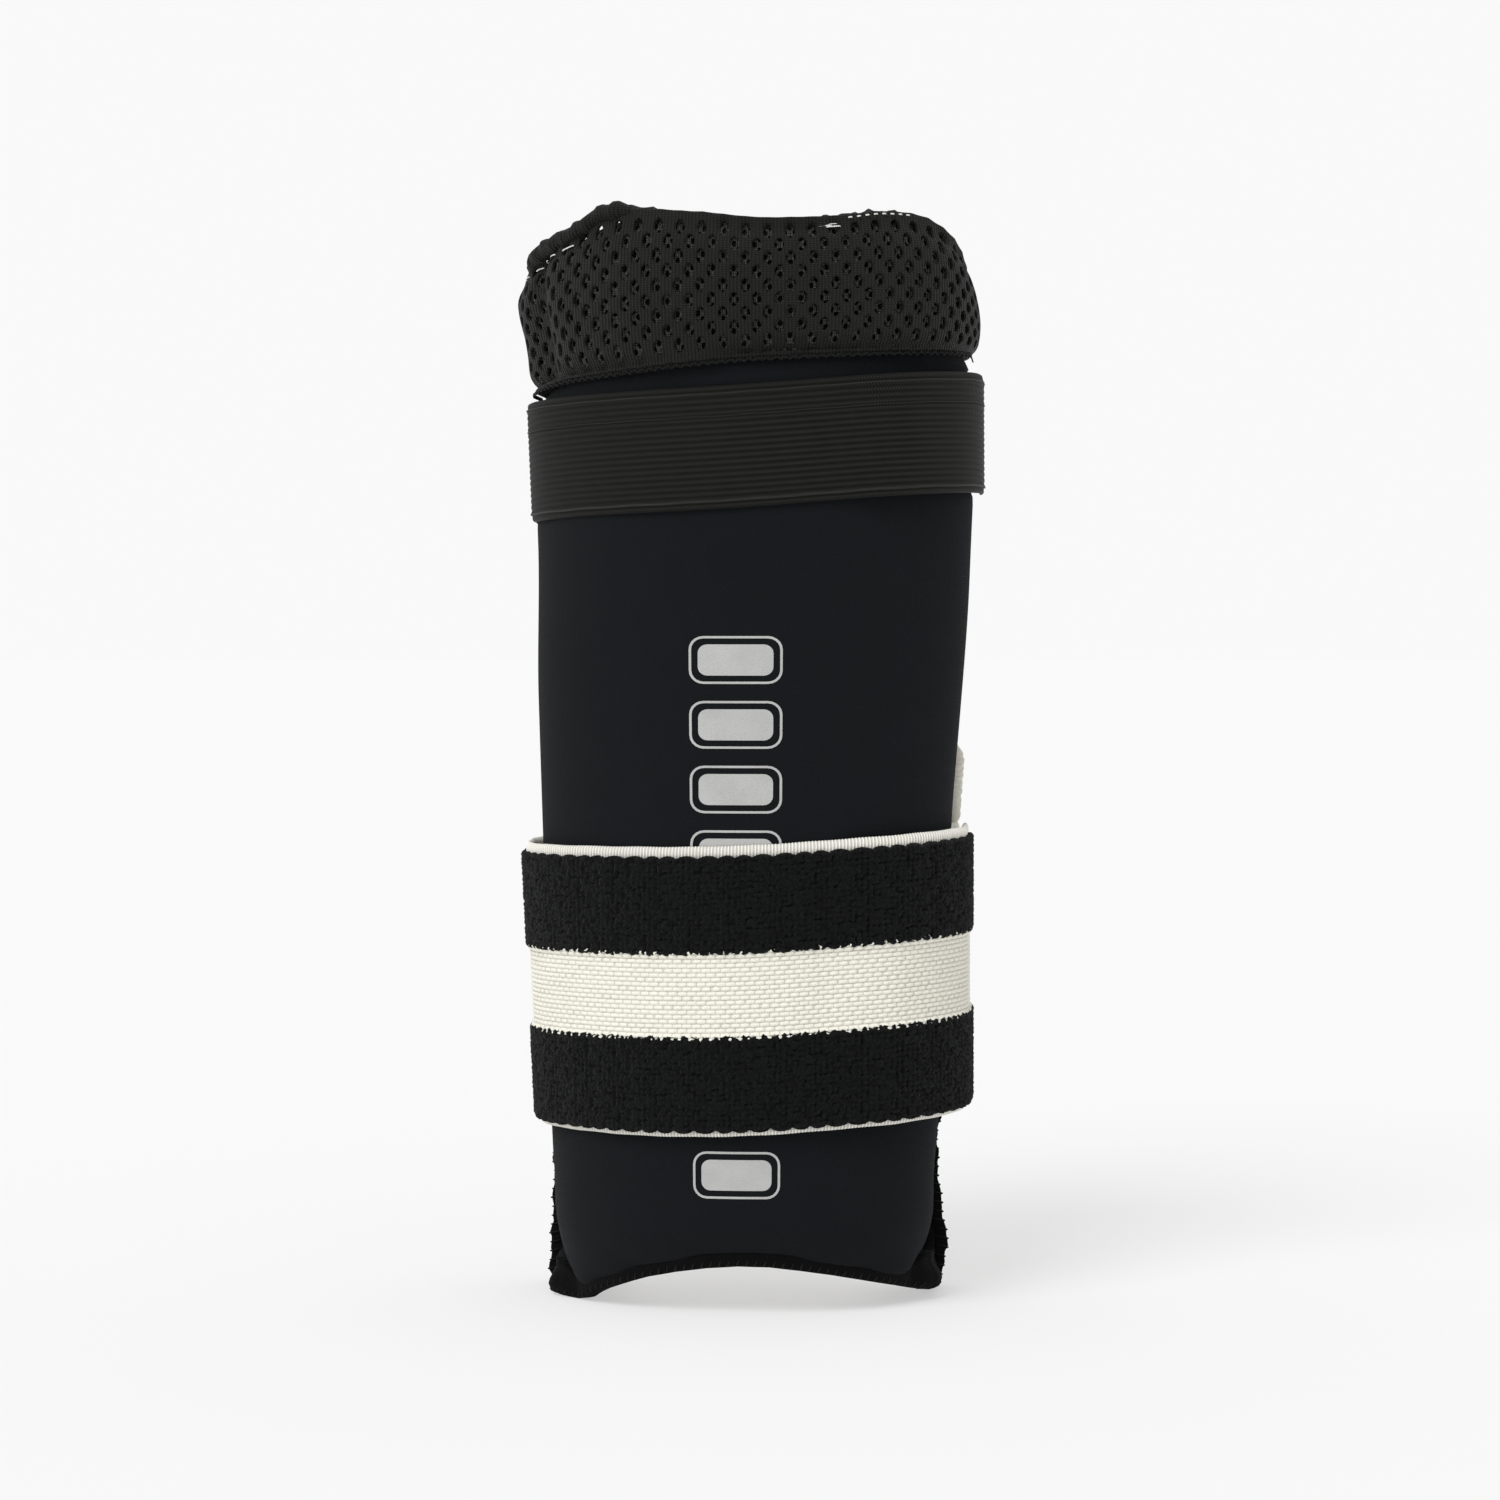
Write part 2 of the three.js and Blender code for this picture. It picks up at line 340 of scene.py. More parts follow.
def cloth_material(
    name, colour, height, roughness, sheen, bump, painted_shade_and_mottle=0.0, gloss=0.1, uneven=0.5,
):
    """A dull cloth. height(nodes, links, map) gives the relief. painted_shade_and_mottle is how
    strongly the colour is painted with shade in its hollows and a highlight on its raised parts, and
    uneven is how much of that goes into soft patches of tone instead."""
    material = bpy.data.materials.new(name)
    material.use_nodes = True
    nodes, links = material.node_tree.nodes, material.node_tree.links
    shader = nodes["Principled BSDF"]
    socket(shader, "Roughness", roughness)
    socket(shader, "Specular IOR Level", gloss)
    socket(shader, "Sheen Weight", sheen)
    socket(shader, "Sheen Roughness", 0.6)
    lay = nodes.new("ShaderNodeUVMap")
    lay.uv_map = "cloth"
    relief = height(nodes, links, lay.outputs["UV"])
    raised = nodes.new("ShaderNodeBump")
    socket(raised, "Strength", bump)
    socket(raised, "Distance", RELIEF_DEPTH)
    links.new(relief, raised.inputs["Height"])
    links.new(raised.outputs["Normal"], shader.inputs["Normal"])
    patches = nodes.new("ShaderNodeTexNoise")
    socket(patches, "Scale", PATCH_SCALE)
    socket(patches, "Detail", 4)
    links.new(lay.outputs["UV"], patches.inputs["Vector"])
    # Painted shade in the relief's hollows and a painted highlight on its raised parts, mixed with
    # soft patches of tone
    shade = nodes.new("ShaderNodeMix")
    shade.data_type = "RGBA"
    socket(shade, "A", (*[c * (1 - painted_shade_and_mottle) for c in colour], 1))
    socket(shade, "B", (*[c * (1 + painted_shade_and_mottle * 0.6) for c in colour], 1))
    both = nodes.new("ShaderNodeMath")
    both.operation = "MULTIPLY_ADD"
    socket(both, 1, 1 - uneven)
    half = nodes.new("ShaderNodeMath")
    half.operation = "MULTIPLY"
    socket(half, 1, uneven)
    links.new(patches.outputs["Fac"], half.inputs[0])
    links.new(relief, both.inputs[0])
    links.new(half.outputs[0], both.inputs[2])
    links.new(both.outputs[0], shade.inputs["Factor"])
    links.new(shade.outputs["Result"], shader.inputs["Base Color"])
    return material


def wave(nodes, links, vector, scale, direction, distortion=0.0):
    bands = nodes.new("ShaderNodeTexWave")
    bands.bands_direction = direction
    socket(bands, "Scale", scale)
    socket(bands, "Distortion", distortion)
    links.new(vector, bands.inputs["Vector"])
    return bands.outputs["Fac"]


def product(nodes, links, a, b, operation="MULTIPLY"):
    node = nodes.new("ShaderNodeMath")
    node.operation = operation
    for index, value in enumerate((a, b)):
        if isinstance(value, (int, float)):
            node.inputs[index].default_value = value
        else:
            links.new(value, node.inputs[index])
    return node.outputs[0]


def plain_weave(threads_per_cm):
    """Over and under: two thread systems at right angles."""
    scale = threads_per_cm / 10 * math.pi

    def height(nodes, links, lay):
        warp = wave(nodes, links, lay, scale, "X", 0.3)
        weft = wave(nodes, links, lay, scale, "Y", 0.3)
        return product(nodes, links, warp, weft, "MAXIMUM")

    return height


navy_cloth = cloth_material(
    "navy_cloth", (0.0068, 0.0080, 0.0096), plain_weave(22),
    roughness=0.8, sheen=0.03, bump=0.35, painted_shade_and_mottle=0.25, gloss=0.04)

PAD_EDGE = 5.0  # width of the rounding along the sewn edges
PAD_FOOT = 0.6  # the pad ends this far above the arch
SIDE_FOOT = 6.0  # and further above the table at the two sides
CORNER_ROUND = 9.0
TUCKED_UNDER = 1.6  # how far the pad goes up under the cap's seam


def pad_low(run):
    reach = np.maximum(0, np.abs(run) - (WALL_END - CORNER_ROUND))
    lost = CORNER_ROUND - np.sqrt(np.maximum(0, CORNER_ROUND**2 - reach**2))
    side = smooth_step(np.abs(run), 46, 60)
    return arch(run) + PAD_FOOT + SIDE_FOOT * side + 0.6 * lost


def pad_high(run):
    return seam(run) + TUCKED_UNDER


def pad_edge(run, up):
    near = np.minimum.reduce([
        WALL_END - np.abs(run), 2.2 * (up - pad_low(run)), 2 * (pad_high(run) - up) + 4])
    share = 1 - np.clip(near, 0, PAD_EDGE) / PAD_EDGE
    return PAD_EDGE * (1 - np.sqrt(1 - share**2))


pad_mesh = flat_slab(
    -WALL_END, WALL_END, 2, 2, pad_low, pad_high,
    inner=lambda run, up: -WALL + 2.4 + 0.2 * pad_edge(run, up),
    outer=lambda run, up: -0.4 - 0.8 * pad_edge(run, up),
)
pad_mesh = plump(
    pad_mesh, pressure=4, most=1.2, voxel=4,
    pinned=lambda co: (WALL_END - np.abs(co[:, 0]) < 3) | (co[:, 2] > pad_high(co[:, 0]) - 2))


def surface_of(mesh):
    """A tree of a flat mesh, to lay other pieces on."""
    mesh.calc_loop_triangles()
    corners = [tuple(t.vertices) for t in mesh.loop_triangles]
    return BVHTree.FromPolygons([v.co for v in mesh.vertices], corners)


CLEAR_OF_ALL = 60  # further out than any lift


def laid_on(mesh, tree, facing=-1):
    """Sinks or lifts a flat mesh so that its own depth counts from the surface under it."""
    co = coordinates(mesh)
    for point in co:
        above = Vector((point[0], CLEAR_OF_ALL * facing, point[2]))
        under = tree.ray_cast(above, Vector((0, -facing, 0)))[0]
        if under is None:
            under = tree.find_nearest(Vector((point[0], 0, point[2])))[0]
        point[1] += under.y
    mesh.vertices.foreach_set("co", co.ravel())


pad_surface = surface_of(pad_mesh)
front_pad = wrapped_piece("front_pad", pad_mesh, shell_wrap, navy_cloth)
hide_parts("face_cover", "impact_foam", "comfort_foam")
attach(front_pad, "guard")

# ---- Plain printed ladder -----------------------------------------------------------------
# A column of plain rounded bars in pale grey ink, each with an outline round it, screen printed
# down the middle of the navy cloth. It is decoration and says nothing.

BARS = 9
TOP_BAR = 160  # height of its middle
BAR_WIDTH, BAR_HEIGHT, BAR_PITCH = 16.5, 7.5, 15.6
BAR_ROUNDING = 0.28  # of its height
OUTLINE, OUTLINE_ROOM = 0.55, 4
INK_CUT = 1.5  # from one cut to the next, so that the ink can bend
INK_LIFT = 0.16


def ink_height(nodes, links, lay):
    grain = nodes.new("ShaderNodeTexNoise")
    socket(grain, "Scale", 34)
    socket(grain, "Detail", 3)
    links.new(lay, grain.inputs["Vector"])
    return grain.outputs["Fac"]


pale_ink = cloth_material(
    "pale_ink", (0.52, 0.52, 0.51), ink_height,
    roughness=0.75, sheen=0.0, bump=0.5, painted_shade_and_mottle=0.35)


def bar_plate(width, height, middle, rim):
    """A rounded plate of ink lying flat, or with a rim width only the outline of one."""
    bm = bmesh.new()
    bmesh.ops.create_grid(bm, x_segments=1, y_segments=1, size=0.5)
    bmesh.ops.scale(bm, verts=bm.verts, vec=(width, height, 1))
    bmesh.ops.bevel(
        bm, geom=bm.verts[:], offset=height * BAR_ROUNDING, offset_type="OFFSET", segments=5,
        profile=0.5, affect="VERTICES", material=-1)
    if rim:
        whole = bm.faces[:]
        outline = bmesh.ops.inset_region(
            bm, faces=whole, thickness=rim, use_boundary=True, use_even_offset=True)["faces"]
        bmesh.ops.delete(bm, geom=[f for f in bm.faces if f not in outline], context="FACES")
    for cut in np.arange(-width / 2 + 1, width / 2, INK_CUT):
        everything = bm.verts[:] + bm.edges[:] + bm.faces[:]
        bmesh.ops.bisect_plane(bm, geom=everything, plane_co=(cut, 0, 0), plane_no=(1, 0, 0))
    bmesh.ops.rotate(bm, verts=bm.verts, matrix=Matrix.Rotation(math.pi / 2, 3, "X"))
    bmesh.ops.translate(bm, verts=bm.verts, vec=(0, 0, middle))
    bmesh.ops.solidify(bm, geom=bm.faces[:], thickness=INK_LIFT)
    bmesh.ops.recalc_face_normals(bm, faces=bm.faces[:])
    for edge in bm.edges:
        edge.smooth = edge.calc_face_angle(0) < 1
    plate = bpy.data.meshes.new("plate")
    bm.to_mesh(plate)
    bm.free()
    return plate


def joined(meshes):
    bm = bmesh.new()
    for mesh in meshes:
        bm.from_mesh(mesh)
    whole = bpy.data.meshes.new("joined")
    bm.to_mesh(whole)
    bm.free()
    return whole


bars = []
for step in range(BARS):
    bar_middle = TOP_BAR - BAR_PITCH * step
    bars.append(bar_plate(BAR_WIDTH, BAR_HEIGHT, bar_middle, 0))
    bars.append(bar_plate(BAR_WIDTH + OUTLINE_ROOM, BAR_HEIGHT + OUTLINE_ROOM, bar_middle, OUTLINE))
ladder_mesh = joined(bars)
laid_on(ladder_mesh, pad_surface)
ladder_mesh.transform(Matrix.Translation((0, -INK_LIFT, 0)))
ladder = wrapped_piece("printed_ladder", ladder_mesh, shell_wrap, pale_ink)
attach(ladder, "guard")

# ---- Towelling lining ---------------------------------------------------------------------
# A sheet of cream towelling against the arm. At the sides it turns over the foam to the sewn
# edge, and on the right it peeps out past that edge as a soft lip.

LOOP = 1.9  # from one loop of the towelling to the next


def loop_relief(run, up, pitch, seed=0.0):
    """Height of a looped pile, from 0 between the loops to 1 on top of one."""
    column, row = np.floor(run / pitch), np.floor(up / pitch)
    best = np.zeros_like(run)
    for over in (-1, 0, 1):
        for above in (-1, 0, 1):
            c, r = column + over, row + above
            mix = np.abs(np.sin(c * 12.9898 + r * 78.233 + seed)) * 43758.5453
            shift_run, shift_up = mix % 1 - 0.5, (mix * 1.7) % 1 - 0.5
            place = (c + 0.5 + 0.45 * shift_run) * pitch
            level = (r + 0.5 + 0.45 * shift_up) * pitch
            away = ((run - place) ** 2 + (up - level) ** 2) / (0.66 * pitch) ** 2
            best = np.maximum(best, np.sqrt(np.maximum(0, 1 - away)))
    return best


def pile_height(nodes, links, lay):
    curls = nodes.new("ShaderNodeTexVoronoi")
    socket(curls, "Scale", 12)
    socket(curls, "Randomness", 0.8)
    links.new(lay, curls.inputs["Vector"])
    return product(nodes, links, 1.0, curls.outputs["Distance"], "SUBTRACT")


cream_pile = cloth_material(
    "cream_pile", (0.74, 0.71, 0.62), pile_height,
    roughness=0.95, sheen=0.1, bump=0.7, painted_shade_and_mottle=0.18)


def lining_low(run):
    """The lining ends just above the pad's foot, and further above it away from the middle."""
    return pad_low(run) + 0.6 + 2.5 * smooth_step(np.abs(run), 28, 40)


lining_mesh = flat_slab(
    -WALL_END, WALL_END, 1.3, 1.3, lining_low, lambda run: seam(run) + 0.6,
    inner=lambda run, up: -WALL - 0.3 - 0.6 * loop_relief(run, up, LOOP),
    outer=constant(-WALL + 2.0),
)
lining = wrapped_piece("lining_cloth", lining_mesh, shell_wrap, cream_pile)
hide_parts("towel_lining")
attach(lining, "guard")


def lip_reach(up):
    """The lip shows where nothing holds it: above the wrist band and below it."""
    above = smooth_step(up, 112, 120) * (1 - smooth_step(up, 134, 142))
    below = smooth_step(up, 2, 7) * (1 - smooth_step(up, 14, 22))
    ragged = 0.35 * np.sin(up * 1.9) + 0.3 * np.sin(up * 3.1 + 1) + 0.25 * np.sin(up * 5.3)
    return -2.6 + above * (4.2 + 0.2 * ragged) + below * (1.6 + 0.6 * ragged)


def add_turned_lining(name, side, rear, tip, outer):
    """A fold of lining over one side of the foam, from the run rear to the run tip."""

    def rounded(run, up):
        return 1.6 * ((run - (rear + tip) / 2) / (tip - rear) * 2) ** 2

    mesh = flat_slab(
        min(rear, tip), max(rear, tip), 0.35, 0.6,
        constant(SIDE_FOOT + 3), lambda run: seam(run) - 2.5,
        inner=lambda run, up: -WALL - 0.2 + rounded(run, up) - 0.5 * loop_relief(run, up, LOOP),
        outer=lambda run, up: outer(up) - rounded(run, up) + 0.4 * loop_relief(run, up, LOOP),
    )
    co = coordinates(mesh)
    bulge = 0.5 * loop_relief(-co[:, 1] + 40, co[:, 2], LOOP)
    behind = np.abs(co[:, 0] - tip) < 0.3
    co[:, 0] += side * bulge * behind
    mesh.vertices.foreach_set("co", co.ravel())
    turned = wrapped_piece(name, mesh, shell_wrap, cream_pile)
    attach(turned, "guard")


add_turned_lining("lining_turned_left", -1, -WALL_END + 0.4, -WALL_END - 1.6, constant(-2.4))
add_turned_lining("lining_turned_right", 1, WALL_END - 0.4, WALL_END + 2.2, lip_reach)

# ---- Elbow cap padding --------------------------------------------------------------------
# Soft foam in black knit, stuffed full and sewn to the top of the front pad. It has two crowns
# along the top with a dip between them, and a fold down its left side.

CAP_HEIGHT = 264.5
CAP_EDGE = 9.0  # width of the rounding along the sewn edges
CAP_TOP = (  # height of the top line, run by run: two crowns and a dip
    [-79, -72, -66, -60, -54, -50, -45, -42, -39, -36, -33, -30, -27, -24, -18, -12,
     -6, 0, 6, 12, 18, 24, 30, 36, 42, 48, 54, 60, 66, 72, 79],
    [244.5, 249.5, 252.7, 254.8, 257.2, 259.3, 261.2, 261.8, 262.8, 263.7, 264.9, 266.4, 267.4,
     267.5, 267.7, 266.9, 266.5, 265.5, 265.0, 265.2, 265.4, 266.0, 267.2, 267.3, 266.8, 264.4,
     261.3, 257.2, 252.9, 249.0, 244.5],
)


def cap_low(run):
    return seam(run) + 0.3


def hump(value, middle, half):
    return np.exp(-(((value - middle) / half) ** 2))


def cap_top(run):
    return np.mean([np.interp(run + near, *CAP_TOP) for near in (-2, -1, 0, 1, 2)], axis=0)


def cap_round(run, up):
    """How far the padding falls back towards its sewn edges."""
    near = np.minimum.reduce([
        WALL_END - np.abs(run) + 2,
        1.5 * (up - cap_low(run)) + 6,
        1.3 * (cap_top(run) - up),
    ])
    share = 1 - np.clip(near, 0, CAP_EDGE) / CAP_EDGE
    return 1 - np.sqrt(1 - share**2)


knit_black = cloth_material(
    "knit_black", (0.004, 0.004, 0.004), plain_weave(9),
    roughness=0.7, sheen=0.03, bump=0.8, painted_shade_and_mottle=0.5, gloss=0.1)

cap_mesh = flat_slab(
    -WALL_END, WALL_END, 2, 2, cap_low, cap_top,
    inner=lambda run, up: -WALL + 2.2 + 2.5 * cap_round(run, up),
    outer=lambda run, up: 0.4 - 5.5 * cap_round(run, up),
)
cap_mesh = plump(
    cap_mesh, pressure=4, most=2.4, voxel=4,
    pinned=lambda co: (co[:, 2] < cap_low(co[:, 0]) + 1.5) | (co[:, 2] > cap_top(co[:, 0]) - 1.5))
cap_co = coordinates(cap_mesh)
cap_run, cap_up = cap_co[:, 0], cap_co[:, 2]
lobe = 1.8 * smooth_step(-cap_run, 56, 64) * hump(cap_up, 251, 9)
lobe += 1.3 * smooth_step(cap_run, 54, 66) * hump(cap_up, 242, 9)
towards_foot = 1 - smooth_step(cap_up, 232, 258)
crease = hump(cap_run, -48 - 2 * towards_foot, 2.4 + 4.0 * towards_foot)
crease *= (3.6 + 0.8 * towards_foot) * (1 - smooth_step(cap_up, 255, 262))
cap_co[:, 1] -= (lobe - crease) * smooth_step(-cap_co[:, 1], -7, -3)
cap_mesh.vertices.foreach_set("co", cap_co.ravel())
cap_surface = surface_of(cap_mesh)
cap_pad = wrapped_piece("cap_padding", cap_mesh, shell_wrap, knit_black)
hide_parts("cap_foam")
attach(cap_pad, "guard")

# ---- Spacer mesh --------------------------------------------------------------------------
# Thick black warp-knit mesh with staggered oval holes, stretched over the padding front and
# back. The holes go right through it and show a finer, shinier mesh and the knit below.

HOLE_PITCH, ROW_PITCH = 4.55, 3.3
STRAND = 0.88  # width left round each hole
MESH_CLOTH = 1.1
FINE_SHARE, FINE_STRAND = 0.46, 0.32  # the finer mesh below the face


def ribs_height(nodes, links, lay):
    ribs = wave(nodes, links, lay, 4.3, "X", 1.2)
    stitches = wave(nodes, links, lay, 5.6, "Y", 2.5)
    loops = product(nodes, links, ribs, product(nodes, links, stitches, 0.5), "ADD")
    return product(nodes, links, product(nodes, links, loops, 0.67), 1.5, "POWER")


mesh_black = cloth_material(
    "mesh_black", (0.0118, 0.0118, 0.0104), ribs_height,
    roughness=0.55, sheen=0.04, bump=1.0, painted_shade_and_mottle=0.95, gloss=0.14, uneven=0.2)
# The finer mesh is painted a lighter black than the face, so that its strands show as painted glints
# in the holes
mesh_shine = cloth_material(
    "mesh_shine", (0.028, 0.028, 0.025), ribs_height,
    roughness=0.35, sheen=0.05, bump=1.0, painted_shade_and_mottle=0.9, gloss=0.5, uneven=0.1)


def perforated(low, high, tree, facing, sit, shift, fine, strand):
    """A lattice of slanted squares, each opened in its middle and rounded into an oval hole."""
    tall = CAP_HEIGHT - SEAM_HEIGHT
    across, along = HOLE_PITCH * fine / math.sqrt(2), 2 * ROW_PITCH * fine / math.sqrt(2)
    count = math.ceil((2 * WALL_END / across + tall / along) / math.sqrt(2)) + 2
    bm = bmesh.new()
    bmesh.ops.create_grid(bm, x_segments=count, y_segments=count, size=count / 2)
    bmesh.ops.rotate(bm, verts=bm.verts, matrix=Matrix.Rotation(math.pi / 4, 3, "Z"))
    bmesh.ops.scale(bm, verts=bm.verts, vec=(across, along, 1))
    bmesh.ops.translate(bm, verts=bm.verts, vec=(shift, 0, 0))
    for place, normal in (
        ((-WALL_END, 0, 0), (-1, 0, 0)), ((WALL_END, 0, 0), (1, 0, 0)),
        ((0, -tall / 2, 0), (0, -1, 0)), ((0, tall / 2, 0), (0, 1, 0)),
    ):
        everything = bm.verts[:] + bm.edges[:] + bm.faces[:]
        bmesh.ops.bisect_plane(
            bm, geom=everything, plane_co=place, plane_no=normal, clear_outer=True)
    whole = [f for f in bm.faces if len(f.verts) == 4 and f.calc_area() > 0.95 * across * along]
    rims = set(bmesh.ops.inset_individual(bm, faces=whole, thickness=strand)["faces"])
    bmesh.ops.delete(bm, geom=[f for f in whole if f not in rims], context="FACES_ONLY")
    bmesh.ops.rotate(bm, verts=bm.verts, matrix=Matrix.Rotation(math.pi / 2, 3, "X"))
    mesh = bpy.data.meshes.new("lattice")
    bm.to_mesh(mesh)
    bm.free()
    co = coordinates(mesh)
    run, share = co[:, 0], np.clip(co[:, 2] / tall + 0.5, 0, 1)
    up = low(run) + (high(run) - low(run)) * share
    mesh.vertices.foreach_set("co", np.stack([run, co[:, 1], up], 1).ravel())
    laid_on(mesh, tree, facing)
    mesh.transform(Matrix.Translation((0, facing * sit, 0)))
    return mesh


def add_mesh_cloth(
    name, nodes, facing, smoothing, sit, high, shift=0.0, fine=1.0, strand=STRAND, cloth=mesh_black,
):
    """One sheet of mesh on the padding. sit is how far its middle lies off it, and fine makes the
    holes and the cloth smaller."""
    lattice = perforated(cap_low, high, cap_surface, facing, sit, shift, fine, strand)
    piece = wrapped_piece(name, lattice, shell_wrap, cloth)
    thick = piece.modifiers.new("thick", "SOLIDIFY")
    thick.thickness = MESH_CLOTH * fine * METRE
    thick.offset = 0
    rounded = piece.modifiers.new("rounded", "SUBSURF")
    rounded.levels = rounded.render_levels = smoothing
    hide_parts(*nodes)
    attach(piece, "guard")
    return piece


mesh_face = add_mesh_cloth(
    "mesh_face", ["cap_mesh_front"], facing=-1, smoothing=2, sit=1.5,
    high=lambda run: cap_top(run) + 0.8)
mesh_under = add_mesh_cloth(
    "mesh_face_under", [], facing=-1, smoothing=1, sit=0.7, high=cap_top,
    shift=0.9, fine=FINE_SHARE, strand=FINE_STRAND, cloth=mesh_shine)
mesh_rear = add_mesh_cloth(
    "mesh_rear", ["cap_mesh_back"], facing=1, smoothing=1, sit=0.7,
    high=lambda run: cap_top(run) - 1.2)

# ---- Rim of the cap -----------------------------------------------------------------------
# The two meshes are sewn together along the top, and the seam rolls forward into a gathered
# lip. A row of white thread shows under it on both crowns.


def flat_roll(run_from, run_to, cell, sides, section):
    """A closed roll laid along the run. section(run, angle) gives its lift and its height."""
    columns = max(2, round((run_to - run_from) / cell))
    bm = bmesh.new()
    bmesh.ops.create_grid(bm, x_segments=columns, y_segments=sides, size=0.5)
    verts = bm.verts[:]
    run = np.array([run_from + (run_to - run_from) * (v.co.x + 0.5) for v in verts])
    angle = np.array([2 * math.pi * (v.co.y + 0.5) for v in verts])
    lift, up = section(run, angle)
    for v, place in zip(verts, np.stack([run, -lift, up], 1)):
        v.co = place
    bmesh.ops.remove_doubles(bm, verts=bm.verts, dist=1e-5)
    bmesh.ops.holes_fill(bm, edges=[e for e in bm.edges if e.is_boundary], sides=0)
    bmesh.ops.recalc_face_normals(bm, faces=bm.faces[:])
    mesh = bpy.data.meshes.new("roll")
    bm.to_mesh(mesh)
    bm.free()
    return mesh


def gathers(run, angle):
    """Uneven puckers along a roll."""
    return (
        0.34 * np.sin(run * 1.13 + 2.1 * np.sin(angle) + 1.3)
        + 0.26 * np.sin(run * 1.91 + 1.7 * np.cos(angle))
        + 0.16 * np.sin(run * 3.3 + 3 * angle)
    )


def rolled_forward(run):
    """Share by which the lip leans out over the front: most on the left crown."""
    left = smooth_step(run, -64, -52) * (1 - smooth_step(run, -27, -16))
    right = smooth_step(run, 14, 22) * (1 - smooth_step(run, 40, 56))
    return left + 0.3 * right


def rim_section(run, angle):
    lean = rolled_forward(run)
    deep = 3.0 - 0.5 * lean + gathers(run, angle)
    tall = 1.2 + 0.9 * lean + gathers(run + 7, angle) * 0.8
    lift = -7.6 + 6.8 * lean + deep * np.cos(angle)
    up = cap_top(run) - 0.3 + 0.2 * lean + 1.2 * hump(run, -29, 6) + tall * np.sin(angle)
    return lift, up


rim_mesh = flat_roll(-WALL_END - 0.5, WALL_END + 0.5, 0.9, 20, rim_section)
rim = wrapped_piece("cap_lip", rim_mesh, shell_wrap, mesh_black)
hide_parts("cap_rim")
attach(rim, "guard")


THREAD = 0.2  # radius of sewing thread


def thread_mesh(paths, radius=THREAD, sides=6):
    """Round thread along flat paths of (run, lift, up)."""
    curve = bpy.data.curves.new("thread", "CURVE")
    curve.dimensions = "3D"
    curve.bevel_depth = radius
    curve.bevel_resolution = max(0, sides // 2 - 2)
    curve.use_fill_caps = True
    for path in paths:
        line = curve.splines.new("POLY")
        line.points.add(len(path) - 1)
        flat = np.array([(run, -lift, up, 1) for run, lift, up in path])
        line.points.foreach_set("co", flat.ravel())
    spool = bpy.data.objects.new("spool", curve)
    bpy.context.scene.collection.objects.link(spool)
    laid = spool.evaluated_get(bpy.context.evaluated_depsgraph_get())
    mesh = bpy.data.meshes.new_from_object(laid)
    bpy.data.objects.remove(spool)
    return mesh


def twist_height(nodes, links, lay):
    return wave(nodes, links, lay, 12, "DIAGONAL")


white_thread = cloth_material(
    "white_thread", (0.80, 0.80, 0.77), twist_height,
    roughness=0.6, sheen=0.1, bump=0.4, painted_shade_and_mottle=0.1)
black_thread = cloth_material(
    "black_thread", (0.006, 0.006, 0.006), twist_height,
    roughness=0.6, sheen=0.04, bump=0.4, painted_shade_and_mottle=0.3, gloss=0.12)


def stitch(run, lift, up, length, rise):
    """One short stitch that dips in at both ends."""
    steps = np.linspace(-0.5, 0.5, 5)
    return [
        (run + length * s, lift + 0.25 - 1.6 * s * s, up + rise * length * s) for s in steps
    ]


def rim_stitches():
    """A running stitch under the lip on the left crown, and a tack and a few more on the right."""
    spots = [(run, 3.4, 1.5) for run in np.arange(-54, -37, 3.9)] + [(-37.5, 3.4, 3.0)]
    spots += [(run, 0.0, 0.6) for run in np.arange(24, 38, 1.9)]
    spots += [(18.2 + 0.9 * (step % 4), 0.8 + 0.36 * (step // 2), 2.0) for step in range(8)]
    paths = []
    for run, below, length in spots:
        top, further = cap_top(np.array([run, run + 1]))
        paths.append(stitch(run, 0, top - below, length, further - top))
    return paths


rim_thread_mesh = thread_mesh(rim_stitches())
laid_on(rim_thread_mesh, cap_surface)
rim_thread_mesh.transform(Matrix.Translation((0, -2.5, 0)))
rim_thread = wrapped_piece("rim_stitches", rim_thread_mesh, shell_wrap, white_thread)
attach(rim_thread, "guard")

# ---- Seam between the cap and the front pad -----------------------------------------------
# The lower edge of the black mesh is turned in as a narrow roll, and sewn down onto the navy
# cloth of the front pad all the way round with black zigzag thread.

SEAM_STITCH = 1.9


def seam_stitches():
    run = np.arange(-WALL_END + 1, WALL_END - 1, SEAM_STITCH / 8)
    swing = np.abs(np.sin(math.pi * run / SEAM_STITCH))
    up = seam(run) - 0.9 + 0.7 * swing
    return [list(zip(run, 0.9 + 0.25 * swing, up))]


seam_thread = wrapped_piece(
    "cap_seam_stitches", thread_mesh(seam_stitches()), shell_wrap, black_thread)
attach(seam_thread, "guard")

seam_roll_mesh = flat_roll(
    -WALL_END, WALL_END, 0.9, 24,
    lambda run, angle: (
        -7.3 + (8.1 + 0.15 * np.sin(run * 2.0)) * np.cos(angle),
        seam(run) + 0.6 + (1.5 + 0.25 * np.sin(run * 2.0)) * np.sin(angle),
    ),
)
seam_roll = wrapped_piece("cap_seam", seam_roll_mesh, shell_wrap, mesh_black)
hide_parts("cap_seam_tape")
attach(seam_roll, "guard")

# ---- Overlocked edges ---------------------------------------------------------------------
# Front cloth and lining are sewn together round the outside, and the raw edge is overlocked
# with black thread. The edge is soft, so it waves, and the guard stands on its wrist end.

OVERLOCK = 2.3  # from one thread to the next
COIL_SIDES = 4


